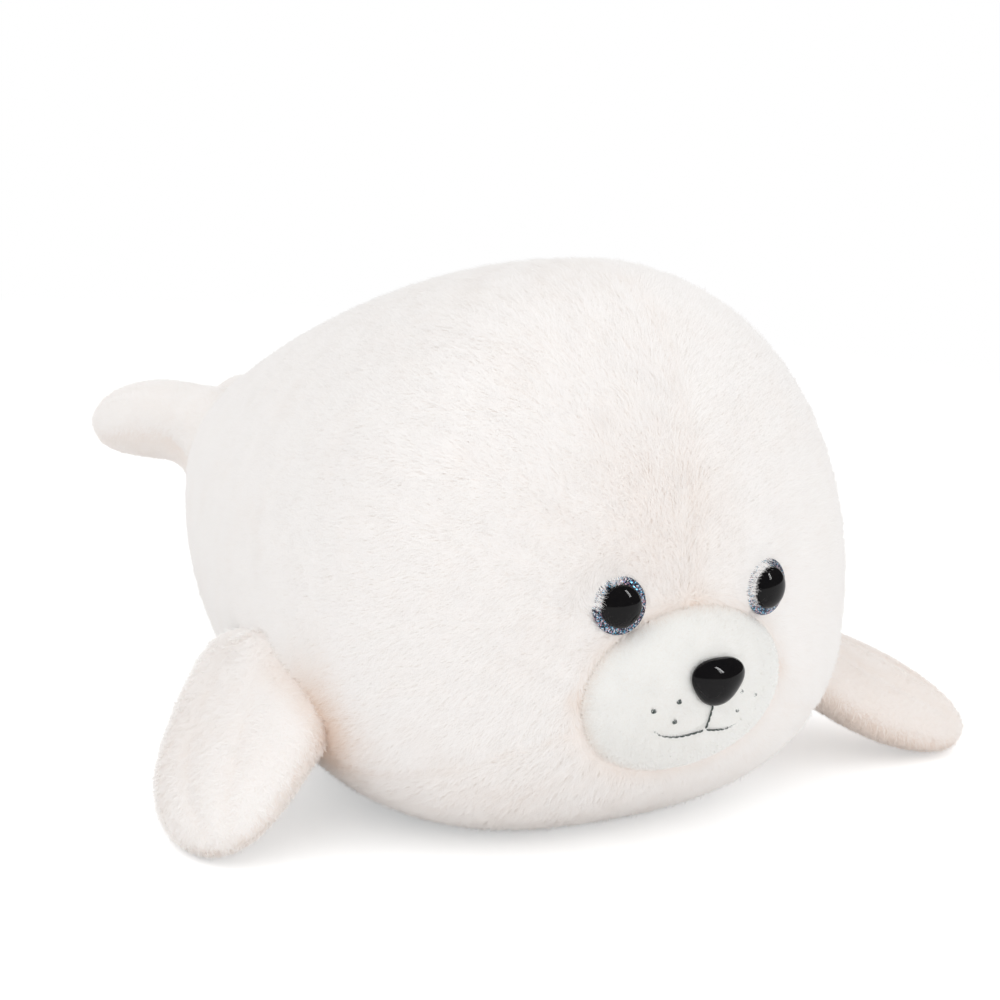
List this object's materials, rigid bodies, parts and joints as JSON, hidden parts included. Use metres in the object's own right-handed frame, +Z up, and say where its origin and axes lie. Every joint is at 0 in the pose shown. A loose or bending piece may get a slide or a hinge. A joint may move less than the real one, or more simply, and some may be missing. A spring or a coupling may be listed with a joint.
{
  "type": "plush seal",
  "caption": "Stuffed toy seal lying on its belly, with an egg-shaped body of cream plush, a raised muzzle, black nose, glitter-ringed eyes, splayed front flippers and a pair of hind flippers.",
  "frame": {"origin": "bottom centre of the bounding box, on the surface that the belly rests on", "axes": "+Z up, the seal faces -Y, +X towards the seal's own left. The body's plane of symmetry is parallel to YZ, 21 mm to the right of the origin, because the left front flipper reaches out further than the right one"},
  "size_m": [0.4156, 0.4928, 0.2418],
  "materials": {
    "cream_plush": "dense short pile",
    "white_short_plush": "very short pile",
    "stuffing": "polyester fibre fill",
    "glossy_black": "polished",
    "glitter": "glitter under gloss",
    "dark_thread": "embroidery thread",
    "clear_plastic": "moulded"
  },
  "bodies": {
    "root": {"belly_panel": "cream_plush", "body_side_left": "cream_plush", "body_side_right": "cream_plush", "body_stuffing": "stuffing", "eye_left": "glossy_black", "eye_left_washer": "clear_plastic", "eye_right": "glossy_black", "eye_right_washer": "clear_plastic", "eye_ring_left": "glitter", "eye_ring_right": "glitter", "front_flipper_left_lower_panel": "cream_plush", "front_flipper_left_stuffing": "stuffing", "front_flipper_left_upper_panel": "cream_plush", "front_flipper_right_lower_panel": "cream_plush", "front_flipper_right_stuffing": "stuffing", "front_flipper_right_upper_panel": "cream_plush", "hind_flipper_left_lower_panel": "cream_plush", "hind_flipper_left_stuffing": "stuffing", "hind_flipper_left_upper_panel": "cream_plush", "hind_flipper_right_lower_panel": "cream_plush", "hind_flipper_right_stuffing": "stuffing", "hind_flipper_right_upper_panel": "cream_plush", "mouth_stitch_left": "dark_thread", "mouth_stitch_right": "dark_thread", "mouth_stitch_upright": "dark_thread", "muzzle_panel": "white_short_plush", "nose": "glossy_black", "nose_washer": "clear_plastic", "whisker_knot_left_1": "dark_thread", "whisker_knot_left_2": "dark_thread", "whisker_knot_left_3": "dark_thread", "whisker_knot_right_1": "dark_thread", "whisker_knot_right_2": "dark_thread", "whisker_knot_right_3": "dark_thread"}
  },
  "joints": []
}
